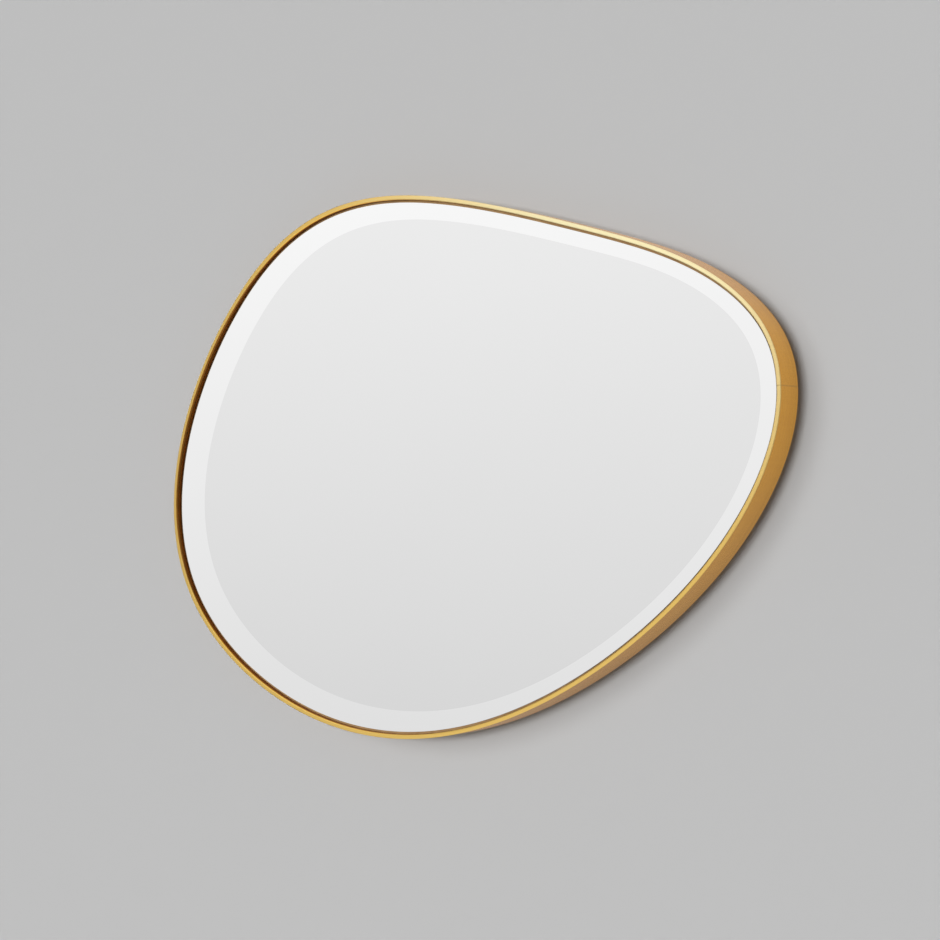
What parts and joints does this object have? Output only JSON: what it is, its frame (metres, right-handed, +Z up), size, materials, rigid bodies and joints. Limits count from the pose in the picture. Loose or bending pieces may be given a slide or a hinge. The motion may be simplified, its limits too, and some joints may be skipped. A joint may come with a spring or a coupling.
{
  "type": "wall mirror",
  "caption": "Irregular pebble-shaped wall mirror: bevelled glass in a deep brushed brass band, with swinging D-ring hangers on its backing board.",
  "frame": {"origin": "on the wall plane, at the back edge of the frame, level with the middle of the outline's width and height", "axes": "+X to the viewer's right, +Z up, +Y into the wall, so the front of the mirror faces -Y"},
  "size_m": [0.7635, 0.045, 0.6011],
  "materials": {
    "brushed_brass": "brushed along the band",
    "silvered_glass": "polished",
    "black_foam": "matte",
    "grey_film": "matte",
    "white_foam_tape": "matte",
    "fibreboard": "matte",
    "zinc_steel": "satin",
    "zinc_screw": "satin",
    "nickel_wire": "polished"
  },
  "bodies": {
    "mirror": {"frame_band": "brushed_brass", "band_seam_weld": "brushed_brass", "mirror_glass": "silvered_glass", "edge_gasket": "black_foam", "safety_film": "grey_film", "backing_board": "fibreboard", "mounting_tape_1": "white_foam_tape", "mounting_tape_2": "white_foam_tape", "mounting_tape_3": "white_foam_tape", "mounting_tape_4": "white_foam_tape", "mounting_tape_5": "white_foam_tape", "bracket_1": "zinc_steel", "bracket_2": "zinc_steel", "bracket_3": "zinc_steel", "bracket_4": "zinc_steel", "bracket_5": "zinc_steel", "bracket_6": "zinc_steel", "bracket_7": "zinc_steel", "bracket_8": "zinc_steel", "bracket_weld_beads": "brushed_brass", "bracket_screws": "zinc_screw", "hanger_strap_left": "zinc_steel", "hanger_strap_right": "zinc_steel", "hanger_strap_upper": "zinc_steel", "hanger_strap_lower": "zinc_steel", "hanger_screws": "zinc_screw"},
    "ring_left": {"hanger_ring_left": "nickel_wire"},
    "ring_right": {"hanger_ring_right": "nickel_wire"},
    "ring_upper": {"hanger_ring_upper": "nickel_wire"},
    "ring_lower": {"hanger_ring_lower": "nickel_wire"}
  },
  "joints": [
    {"name": "ring_left_swing", "type": "hinge", "parent": "mirror", "child": "ring_left", "pos_m": [-0.21, -0.01495, 0.13], "axis": [-1, 0, 0], "range_deg": [0, 178]},
    {"name": "ring_right_swing", "type": "hinge", "parent": "mirror", "child": "ring_right", "pos_m": [0.17, -0.01495, 0.13], "axis": [-1, 0, 0], "range_deg": [0, 178]},
    {"name": "ring_upper_swing", "type": "hinge", "parent": "mirror", "child": "ring_upper", "pos_m": [0.262, -0.01495, 0.096], "axis": [0, 0, 1], "range_deg": [0, 178]},
    {"name": "ring_lower_swing", "type": "hinge", "parent": "mirror", "child": "ring_lower", "pos_m": [0.262, -0.01495, -0.084], "axis": [0, 0, 1], "range_deg": [0, 178]}
  ]
}
